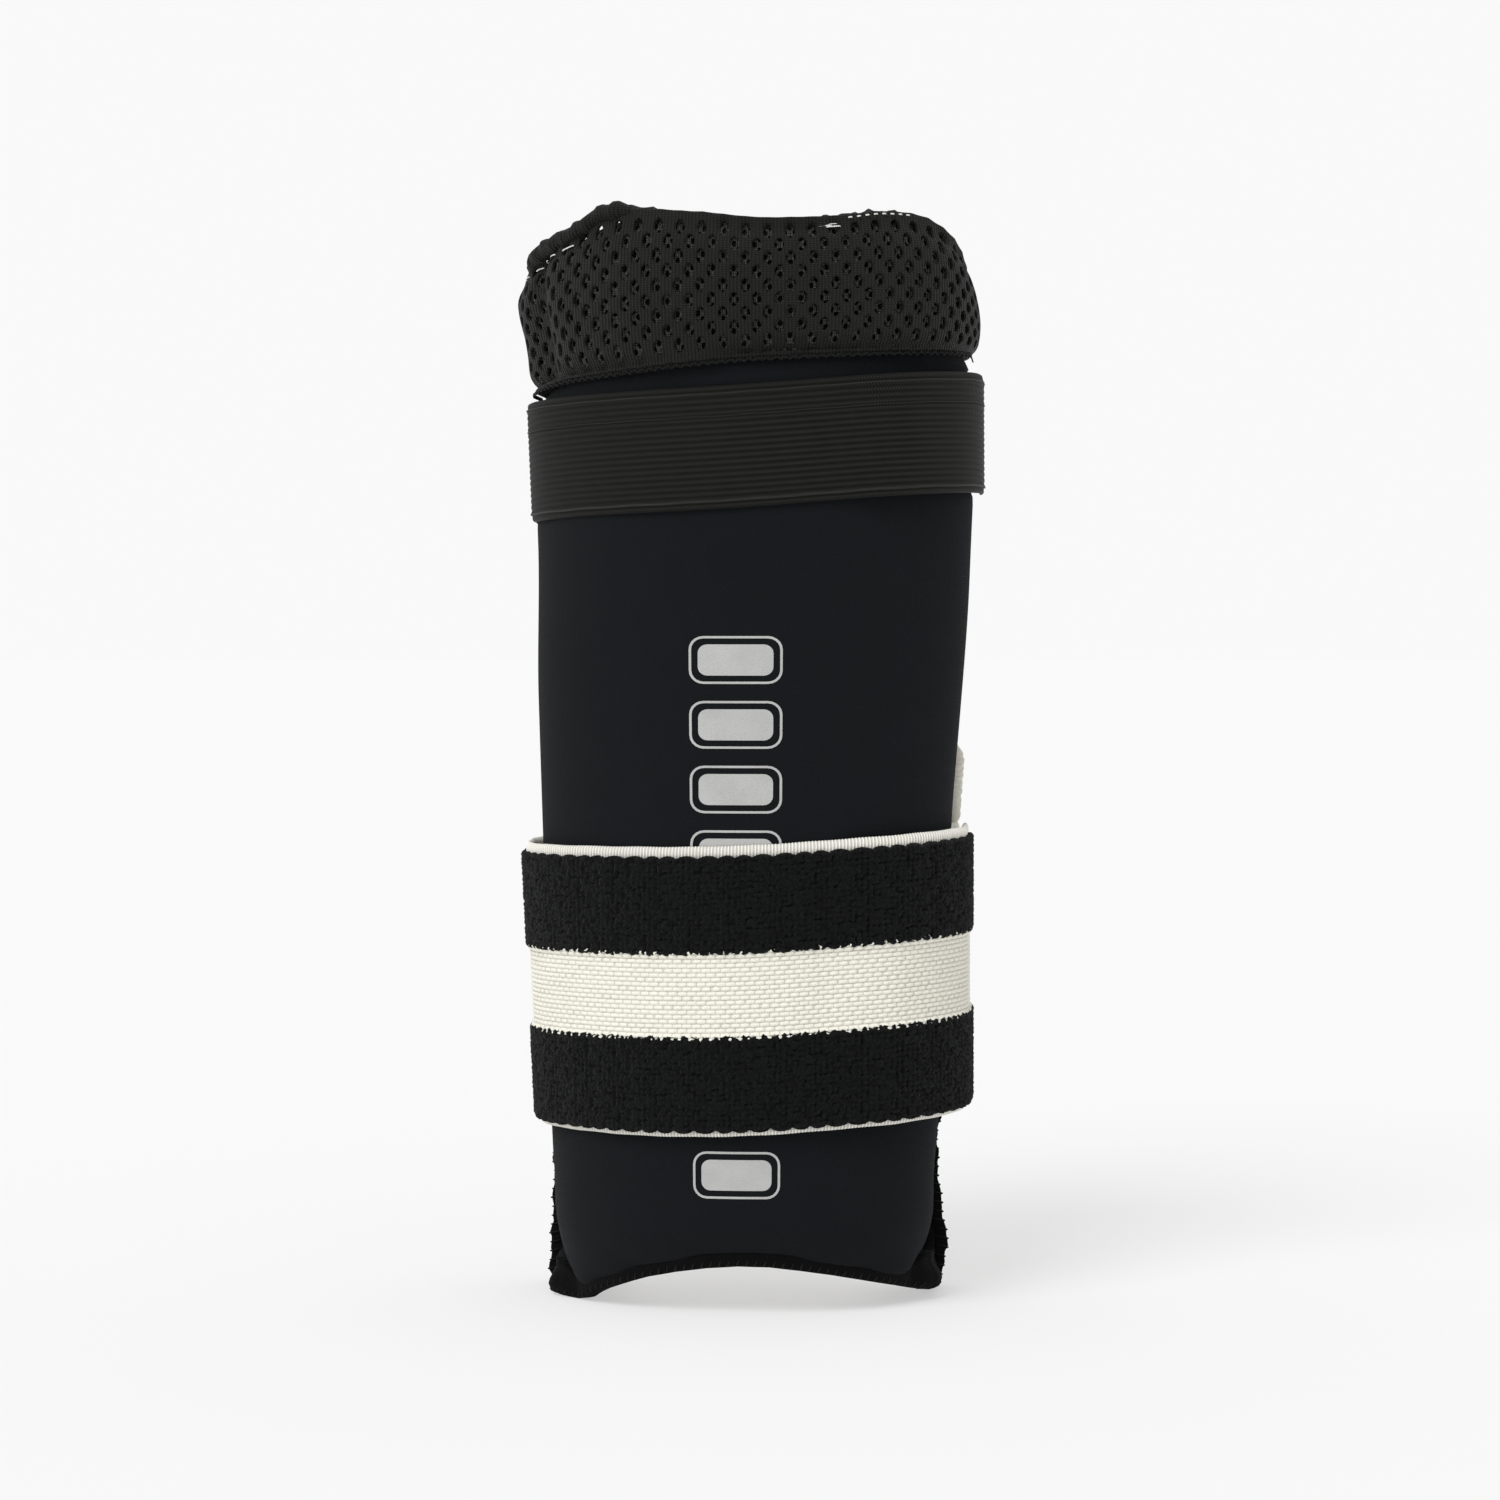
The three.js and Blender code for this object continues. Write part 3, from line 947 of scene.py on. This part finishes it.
def edge_wave(along):
    """How the soft edge waves in and out along its length."""
    return 0.35 * np.sin(along * 0.62) + 0.25 * np.sin(along * 1.37 + 1) + 0.12 * np.sin(along * 2.9)


black_cloth = cloth_material(
    "black_cloth", (0.0030, 0.0030, 0.0030), plain_weave(14),
    roughness=0.8, sheen=0.02, bump=0.5, painted_shade_and_mottle=0.3, gloss=0.04)


def squeezed(up):
    """1 where a strap holds an edge down."""
    elastic = smooth_step(up, 188, 195) * (1 - smooth_step(up, 228, 232))
    towel = smooth_step(up, 46, 52) * (1 - smooth_step(up, 112, 119))
    return np.maximum(elastic, towel)


FLANGE = {  # how far the sewn edge stands out, by height: it splays towards the table
    -1: ([0, 3, 10, 25, 31, 40, 60], [5.4, 5.4, 4.6, 3.5, 3.2, 2.5, 1.8]),
    1: ([0, 3, 10, 25, 38, 112, 150], [2.9, 3.0, 4.4, 1.8, 0.6, 0.2, -1.7]),
}


HELD_LIFT = -0.6  # where a strap holds it down
TIP_ROUND = 4  # rounding of the corner on the table


def side_reach(side, up):
    free = np.interp(up, *FLANGE[side]) + 0.7 * edge_wave(up + 40 * side)
    below = np.maximum(0, TIP_ROUND - up)
    corner = TIP_ROUND - np.sqrt(np.maximum(0, TIP_ROUND**2 - below**2))
    return free + (HELD_LIFT - free) * squeezed(up) - corner


def add_side_edge(name, side):
    rear = side * (WALL_END + 0.2)
    tip = rear + side * (1.9 if side < 0 else 1.1)
    mesh = flat_slab(
        min(rear, tip), max(rear, tip), 0.5, 1.4,
        constant(0.3), lambda run: seam(run) - 0.5,
        inner=constant(-3.4),
        outer=lambda run, up: side_reach(side, up) - 0.5 * ((run - rear) * side / 1.9 - 0.4) ** 2,
    )
    edge = wrapped_piece(f"{name}_cloth", mesh, shell_wrap, black_cloth)
    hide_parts(name)
    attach(edge, "guard")
    up = np.arange(2, 226 if side < 0 else 112, OVERLOCK / 10)
    turn = 2 * math.pi * up / OVERLOCK
    run = (rear + tip) / 2 + side * (0.75 * abs(tip - rear) * np.cos(turn))
    lift = side_reach(side, up) - 1.5 + 1.75 * np.sin(turn)
    coil_mesh = thread_mesh([list(zip(run, lift, up))], sides=COIL_SIDES)
    coil = wrapped_piece(
        f"{name}_overlock", coil_mesh, shell_wrap, black_thread)
    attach(coil, "guard")


add_side_edge("left_edge", -1)
add_side_edge("right_edge", 1)


def wrist_reach(run, up):
    """The flange under the pad: tucked in along the arch, and standing out at the two corners."""
    stands = smooth_step(np.abs(run), 50, 61)
    risen = up - arch(run)
    level = np.clip(risen / (SIDE_FOOT + PAD_FOOT), 0, 1)
    rounding = (0.8 + 2.6 * stands) * np.maximum(0, 1 - risen / 2.6) ** 2
    return -2.6 + stands * (5.9 - 2.4 * level**3) + 0.5 * edge_wave(run) * stands - rounding


wrist_mesh = flat_slab(
    -WALL_END - 1, WALL_END + 1, 0.8, 0.5,
    lambda run: arch(run) + 0.1, lambda run: pad_low(np.clip(run, -WALL_END, WALL_END)) + 3,
    inner=lambda run, up: wrist_reach(run, up) - 3.0, outer=wrist_reach)
wrist_edge = wrapped_piece("wrist_edge_cloth", wrist_mesh, shell_wrap, black_cloth)
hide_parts("wrist_edge")
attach(wrist_edge, "guard")

wrist_run = np.arange(-WALL_END, WALL_END, OVERLOCK / 10)
wrist_turn = 2 * math.pi * wrist_run / OVERLOCK
wrist_up = arch(wrist_run) + 1.1 + 0.9 * np.sin(wrist_turn)
wrist_lift = wrist_reach(wrist_run, wrist_up) - 0.9 + 1.1 * np.cos(wrist_turn)
wrist_coil_mesh = thread_mesh([list(zip(wrist_run, wrist_lift, wrist_up))], sides=COIL_SIDES)
wrist_coil = wrapped_piece(
    "wrist_edge_overlock", wrist_coil_mesh, shell_wrap, black_thread)
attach(wrist_coil, "guard")

# ---- Elastic strap below the elbow --------------------------------------------------------
# Woven ribbed elastic. It is sewn to the right side, crosses the open back, wraps the left side
# and the front, and closes with its tail over the sewn end. Peeling the tail frees it.

TAB_START = QUARTER - 20
TAIL_HINGE = QUARTER - 25
TAIL_END = WALL_END - 3
SPLIT = 22.0  # where the front run hands over to the tail
SEWN_LIFT = 0.5  # how far a sewn end lies off the shell


class Strap:
    """The lay of one strap, run by run, measured across it from its middle line. rest, left_lift
    and tail_lift are how far it lies off the shell, droop is its sag, all round and more in
    front, and lean is how far it stands out at the top and bottom of each side."""

    def __init__(
        self, name, bodies, height, slope, width, rest, left_lift, tail_lift, droop, lean,
    ):
        self.name = name
        self.open_body, self.tail_body = bodies
        self.height, self.slope, self.width = height, slope, width
        self.rest, self.left_lift, self.tail_lift = rest, left_lift, tail_lift
        self.droop, self.lean = droop, lean
        self.half = shell_half_width(height + width / 2)
        self.rear = CORNER_START + CORNER_RUN + self.half - CORNER

    def lift(self, run):
        """Lift of the underside, as it comes off the sewn end and goes round to the tail."""
        left = self.rest + self.left_lift * smooth_step(-run, QUARTER / 2, WALL_END)
        front = left + (self.tail_lift - left) * smooth_step(run, TAIL_HINGE - 20, TAIL_HINGE)
        behind = run + 2 * self.rear
        ease = smooth_step(behind, CORNER_START + CORNER_RUN, self.rear)
        far_left = self.rest + self.left_lift
        return np.where(run < -self.rear, SEWN_LIFT + (far_left - SEWN_LIFT) * ease, front)

    def wrap(self, run, lift, up):
        x, y, out_x, out_y = girth(run, self.half)
        share = x / self.half
        forward = 1 - smooth_step(y, SIDE_WALL - 4, SIDE_WALL + 4)
        top_left, low_left, top_right, low_right = self.lean
        level = 0.5 - up / self.width
        left = (top_left + (low_left - top_left) * level) * smooth_step(-share, 0.35, 0.98)
        right = (top_right + (low_right - top_right) * level) * smooth_step(share, 0.35, 0.98)
        lift = lift + (left + right) * forward
        sag = self.droop[0] + self.droop[1] * np.cos(share * math.pi / 2) ** 2 * forward
        z = self.height + self.slope * x - sag + up
        return np.stack([x + out_x * lift + MIDDLE_X, y + out_y * lift + WIDEST_Y, z], 1) * METRE


def rounded_side(up, half, radius):
    """Share of the full thickness left near the long edges."""
    near = np.clip((half - np.abs(up)) / radius, 0, 1)
    return 0.25 + 0.75 * np.sqrt(1 - (1 - near) ** 2)


def strip(strap, run_from, run_to, run_cell, up_cell, low, high, inner, outer):
    """A flat closed length of strap. inner and outer are measured from the strap's underside."""
    return flat_slab(
        run_from, run_to, run_cell, up_cell, low, high,
        inner=lambda run, up: strap.lift(run) + inner(run, up),
        outer=lambda run, up: strap.lift(run) + outer(run, up),
    )


def sharp_ends(mesh, places):
    """The cut ends of a strap stay crisp, so that two lengths meet without a shaded line."""
    bm = bmesh.new()
    bm.from_mesh(mesh)
    for edge in bm.edges:
        if all(any(abs(v.co.x - place) < 1e-3 for place in places) for v in edge.verts):
            edge.smooth = False
    bm.to_mesh(mesh)
    bm.free()


def tangent_at(strap, run, reach, z):
    """Two places on the girth, reach before and after a run, in metres."""
    places = strap.wrap(np.array([run - reach, run + reach]), np.array([2.0, 2.0]), np.zeros(2))
    return [(place[0], place[1], z) for place in places]


def add_lengths(strap, name, make, material, replaced):
    """Makes one layer of a strap in its three lengths: the sewn end, which stays on the guard,
    the long run from a little past the middle of the back, and the tail."""
    turn = -strap.rear - (CORNER_START - CORNER) / 6  # a little past the middle of the back
    hinge_left, hinge_tail = -(QUARTER - 8), TAIL_HINGE
    lengths = [
        ("sewn_end", TAB_START - 2 * strap.rear, turn),
        ("run", turn, SPLIT),
        ("tail", SPLIT, TAIL_END),
    ]
    for part, run_from, run_to in lengths:
        mesh = make(run_from, run_to)
        sharp_ends(mesh, [run_from, run_to])
        piece = wrapped_piece(f"{name}_{part}", mesh, strap.wrap, material)
        if replaced:
            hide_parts(f"{strap.name}_{replaced[part]}")
        if part == "sewn_end":
            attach(piece, "guard")
        if part == "run":
            middle = strap.wrap(np.array([hinge_left]), np.zeros(1), np.zeros(1))[0]
            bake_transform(piece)
        if part == "tail":
            before, after = tangent_at(strap, hinge_tail, 5, strap.height * METRE)
            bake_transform(piece)


REPLACED = {"sewn_end": "back", "run": "front", "tail": "tail"}

elbow = Strap(
    "elbow_strap", ("elbow_strap", "elbow_tail"), height=213, slope=ELASTIC_SLOPE, width=29.5,
    rest=SEWN_LIFT, left_lift=0.4, tail_lift=3.7, droop=(0.9, 0.9), lean=(-0.8, -2.0, -0.2, 0.0))

RIB = 1.475  # from one rib to the next
ELASTIC = 1.2  # thickness
ELASTIC_BORDER = 1.9  # from its long edge to the first rib


def elastic_height(nodes, links, lay):
    """Zigzag stitches along every rib; the cloth paints them and the ribs as glints on near black.
    """
    split = nodes.new("ShaderNodeSeparateXYZ")
    links.new(lay, split.inputs[0])
    across = product(nodes, links, split.outputs["Y"], RIB / 20, "PINGPONG")
    slant = product(nodes, links, across, 0.9)
    place = product(nodes, links, split.outputs["X"], slant, "ADD")
    turns = product(nodes, links, place, 2 * math.pi / 0.062)
    stitches = product(nodes, links, turns, 0, "SINE")
    half = product(nodes, links, stitches, 0.45)
    rib = product(nodes, links, across, 17 / RIB)
    both = product(nodes, links, half, rib, "ADD")
    return product(nodes, links, product(nodes, links, both, 0, "MAXIMUM"), 2.4, "POWER")


# Near black, with painted glints of light along the ribs and zigzag stitches and painted shade
# between them
elastic_black = cloth_material(
    "elastic_black", (0.022, 0.022, 0.0188), elastic_height,
    roughness=0.55, sheen=0.03, bump=1.0, painted_shade_and_mottle=0.97, gloss=0.12, uneven=0.08)


def elastic_relief(run, up):
    half = elbow.width / 2
    rib = np.abs(np.sin(math.pi * up / RIB))
    ribbed = 0.22 * np.sqrt(rib) * (np.abs(up) < half - ELASTIC_BORDER)
    return (ELASTIC - 0.2 + ribbed) * rounded_side(up, half, 0.9)


def elastic_length(run_from, run_to):
    half = elbow.width / 2
    return strip(
        elbow, run_from, run_to, 1.2, RIB / 5,
        constant(-half), constant(half),
        inner=lambda run, up: 0.12 * (1 - rounded_side(up, half, 0.9)),
        outer=elastic_relief,
    )


add_lengths(elbow, "elastic", elastic_length, elastic_black, REPLACED)


def corded_lengths(strap, pitch, cords):
    """Cords laid along a strap: each has its place across it, half height, half depth and lift."""

    def make(run_from, run_to):
        def cord(middle, tall, deep, lift):
            def section(run, angle):
                turn = np.cos(2 * math.pi * run / pitch)
                wander = 0.05 * np.sin(run * 0.5)
                up = middle + wander + tall * (1 + 0.04 * turn) * np.sin(angle)
                return strap.lift(run) + lift + deep * (1 + 0.22 * turn) * np.cos(angle), up

            return flat_roll(run_from, run_to, pitch / 4, 12, section)

        return joined([cord(*size) for size in cords])

    return make


line_black = cloth_material(
    "line_black", (0.016, 0.016, 0.014), twist_height,
    roughness=0.5, sheen=0.03, bump=0.4, painted_shade_and_mottle=0.3, gloss=0.3)
edge_line = elbow.width / 2 - ELASTIC_BORDER
elastic_lines = [
    (edge_line, 0.16, 0.2, ELASTIC),
    (edge_line - 5.4, 0.12, 0.18, ELASTIC),
    (-edge_line, 0.26, 0.24, ELASTIC),
]
add_lengths(
    elbow, "elastic_lines", corded_lengths(elbow, 1.2, elastic_lines), line_black, None)

# ---- Wrist band ---------------------------------------------------------------------------
# A wide towelling band: two stripes of black looped pile on a cream woven web, with a corded
# cream edge above and a thin one below. It goes round and closes as the elastic does.

band = Strap(
    "wrist_band", ("wrist_strap", "wrist_tail"), height=82.2, slope=0.042, width=70,
    rest=0.9, left_lift=2.0, tail_lift=3.8, droop=(1.0, 0.9), lean=(1.2, -2.1, -1.0, -0.9))

UPPER_PILE = (32.0, 9.4)  # top and bottom of each stripe, from the middle line
WEB_STRIPE = (9.4, -11.4)
LOWER_PILE = (-11.4, -33.6)
SCALLOP = 4.2  # from one bulge of the pile's edge to the next
WEB_CLOTH = 1.3
PILE_CLOTH = 2.5
BRICK, COURSE = 2.15, 1.12  # length and height of one brick of thread in the web
WEB_OVERLAP = 0.35  # how far the web goes in under the pile
CORD_RIB = 0.74
TOP_CORD = (33.3, 1.7, 0.75, 0.55)  # place, half height, half depth and lift
LOW_CORD = (-34.3, 1.0, 0.6, 0.4)


def scallops(run, seed=0.0):
    """Bulges of the loops along a pile's edges."""
    swing = math.pi * run / SCALLOP + seed + 0.35 * np.sin(run * 0.37)
    return 1.1 * np.sqrt(np.abs(np.sin(swing)))


def web_height(nodes, links, lay):
    """Bricks of thread with sunk joints, painted in shade by the cloth, and fine fibres across them.
    """
    bricks = nodes.new("ShaderNodeTexBrick")
    socket(bricks, "Scale", 1)
    socket(bricks, "Mortar Size", 0.015)
    socket(bricks, "Mortar Smooth", 0.8)
    socket(bricks, "Brick Width", BRICK / 10)
    socket(bricks, "Row Height", COURSE / 10)
    links.new(lay, bricks.inputs["Vector"])
    fibres = wave(nodes, links, lay, 7, "DIAGONAL", 4)
    low = product(nodes, links, fibres, 0.25)
    high = product(nodes, links, low, 0.75, "ADD")
    return product(nodes, links, high, bricks.outputs["Fac"], "SUBTRACT")


def cord_height(nodes, links, lay):
    """Ribs across a corded edge."""
    ribs = wave(nodes, links, lay, math.pi / CORD_RIB, "X")
    return product(nodes, links, 1.0, ribs, "SUBTRACT")


cream_web = cloth_material(
    "cream_web", (0.85, 0.83, 0.735), web_height,
    roughness=0.9, sheen=0.1, bump=0.5, painted_shade_and_mottle=0.18, gloss=0.1, uneven=0.3)
cream_cord = cloth_material(
    "cream_cord", (0.88, 0.86, 0.79), cord_height,
    roughness=0.85, sheen=0.1, bump=0.6, painted_shade_and_mottle=0.3, gloss=0.1, uneven=0.1)


def black_pile_height(nodes, links, lay):
    curls = nodes.new("ShaderNodeTexVoronoi")
    socket(curls, "Scale", 16)
    links.new(lay, curls.inputs["Vector"])
    fuzz = nodes.new("ShaderNodeTexNoise")
    socket(fuzz, "Scale", 60)
    links.new(lay, fuzz.inputs["Vector"])
    fine = product(nodes, links, fuzz.outputs["Fac"], 0.4)
    top = product(nodes, links, fine, 0.75, "ADD")
    return product(nodes, links, top, curls.outputs["Distance"], "SUBTRACT")


black_pile = cloth_material(
    "black_pile", (0.0048, 0.0056, 0.0053), black_pile_height,
    roughness=0.85, sheen=0.05, bump=1.0, painted_shade_and_mottle=0.95, gloss=0.08, uneven=0.15)


def beads(run):
    """The ends of the bricks along the web's edges."""
    return np.abs(np.sin(math.pi * run / BRICK + 0.35 * np.sin(run * 0.37))) ** 0.7


def web_relief(run, up):
    """Bricks of thread, each row set half a brick along, with small nubs along both edges."""
    row = np.floor(up / COURSE)
    along = run / BRICK + 0.5 * ((row + 1) % 2) + 0.13 * np.sin(row * 2.4 + run * 0.31)
    brick = np.abs(np.sin(math.pi * along)) ** 0.5 * np.abs(np.sin(math.pi * up / COURSE)) ** 0.6
    near_edge = np.minimum(WEB_STRIPE[0] - up, up - WEB_STRIPE[1])
    nub = 0.9 * hump(near_edge, 0.2, 0.8) * beads(run)
    return WEB_CLOTH - 0.15 + 0.75 * brick + nub


def pile_relief(stripe):
    top, low = stripe

    def relief(run, up):
        middle, half = (top + low) / 2, (top - low) / 2
        column = np.abs(np.sin(math.pi * run / 1.1 + 0.5 * np.sin(up * 0.8)))
        loops = loop_relief(run, up, 1.25, middle)
        full = PILE_CLOTH - 1.1 + 1.15 * loops + 0.35 * column
        return full - 0.9 * (1 - rounded_side(up - middle, half + 0.7, 1.0))

    return relief


def web_length(run_from, run_to):
    return strip(
        band, run_from, run_to, 0.43, 0.24,
        lambda run: WEB_STRIPE[1] - WEB_OVERLAP - 0.4 * beads(run),
        lambda run: WEB_STRIPE[0] + WEB_OVERLAP + 0.4 * beads(run),
        inner=constant(0.0), outer=web_relief)


def pile_length(stripe, cell=0.42):
    top, low = stripe

    def make(run_from, run_to):
        return strip(
            band, run_from, run_to, cell, cell,
            lambda run: low - scallops(run, 0.4) + 0.3,
            lambda run: top + scallops(run) - 0.3,
            inner=constant(0.3), outer=pile_relief(stripe))

    return make


add_lengths(band, "web", web_length, cream_web, REPLACED)
for name, make, cloth in (
    ("pile_upper", pile_length(UPPER_PILE), black_pile),
    ("pile_lower", pile_length(LOWER_PILE), black_pile),
    ("corded_edge", corded_lengths(band, CORD_RIB, [TOP_CORD]), cream_cord),
    ("lower_edge", corded_lengths(band, CORD_RIB, [LOW_CORD]), cream_cord),
):
    add_lengths(band, name, make, cloth, None)

# ---- Hook and loop patches ----------------------------------------------------------------
# A soft loop patch is sewn on the outside of each sewn end, and a stiff hook patch inside each
# tail, each with a row of stitches just inside its edge.

PATCH = 0.6  # thickness
PATCH_ROUND = 3.0
PATCH_STITCH = 2.2  # from one stitch to the next
STITCH_INSET = 1.4


def loop_height(nodes, links, lay):
    fuzz = nodes.new("ShaderNodeTexNoise")
    socket(fuzz, "Scale", 26)
    socket(fuzz, "Detail", 5)
    socket(fuzz, "Distortion", 1.5)
    links.new(lay, fuzz.inputs["Vector"])
    return fuzz.outputs["Fac"]


def hook_height(nodes, links, lay):
    rows = wave(nodes, links, lay, 3.4, "Y")
    hooks = wave(nodes, links, lay, 4.4, "X")
    return product(nodes, links, rows, hooks)


loop_black = cloth_material(
    "loop_black", (0.016, 0.016, 0.015), loop_height,
    roughness=0.9, sheen=0.25, bump=0.9, painted_shade_and_mottle=0.4)
hook_black = cloth_material(
    "hook_black", (0.013, 0.013, 0.013), hook_height,
    roughness=0.45, sheen=0.05, bump=0.8, painted_shade_and_mottle=0.4, gloss=0.35)


def hooks_relief(run, up):
    rows = np.maximum(0, np.sin(2 * math.pi * up / 1.3))
    return 0.35 * rows * np.maximum(0, np.sin(2 * math.pi * run / 1.1))


def add_patch(strap, kind, material, body, base, relief):
    """A loop patch faces outwards from its base lift, and a hook patch faces inwards."""
    run_from, run_to = TAB_START + 3, TAIL_END - 3
    half, middle = strap.width / 2 - 3, (run_from + run_to) / 2

    def side(run):
        reach = np.maximum(0, np.abs(run - middle) - ((run_to - run_from) / 2 - PATCH_ROUND))
        return half - PATCH_ROUND + np.sqrt(np.maximum(0, PATCH_ROUND**2 - reach**2))

    smooth = constant(0.0)
    inwards, outwards, thread_lift = (
        (smooth, relief, PATCH + 0.2) if kind == "loop" else (relief, smooth, -0.25))
    mesh = flat_slab(
        run_from, run_to, 0.45, 0.45, lambda run: -side(run), side,
        inner=lambda run, up: base - inwards(run, up),
        outer=lambda run, up: base + PATCH + outwards(run, up))
    piece = wrapped_piece(f"{strap.name}_{kind}", mesh, strap.wrap, material)
    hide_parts(f"{strap.name}_{kind}_patch")
    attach(piece, body)
    paths = [
        stitch(run, base + thread_lift, level, 1.5, 0)
        for level in (STITCH_INSET - half, half - STITCH_INSET)
        for run in np.arange(run_from + 3, run_to - 3, PATCH_STITCH)
    ]
    thread = wrapped_piece(
        f"{strap.name}_{kind}_stitches", thread_mesh(paths, 0.16, 4), strap.wrap, black_thread)
    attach(thread, body)


PATCH_GAP = 0.3
for strap, sewn_end in ((elbow, 1.1), (band, 1.2)):
    loop_base = SEWN_LIFT + sewn_end + PATCH_GAP
    hook_base = loop_base + PATCH + PATCH_GAP
    add_patch(
        strap, "loop", loop_black, "guard", loop_base,
        lambda run, up: 0.12 * loop_relief(run, up, 0.9))
    add_patch(strap, "hook", hook_black, strap.tail_body, hook_base, hooks_relief)
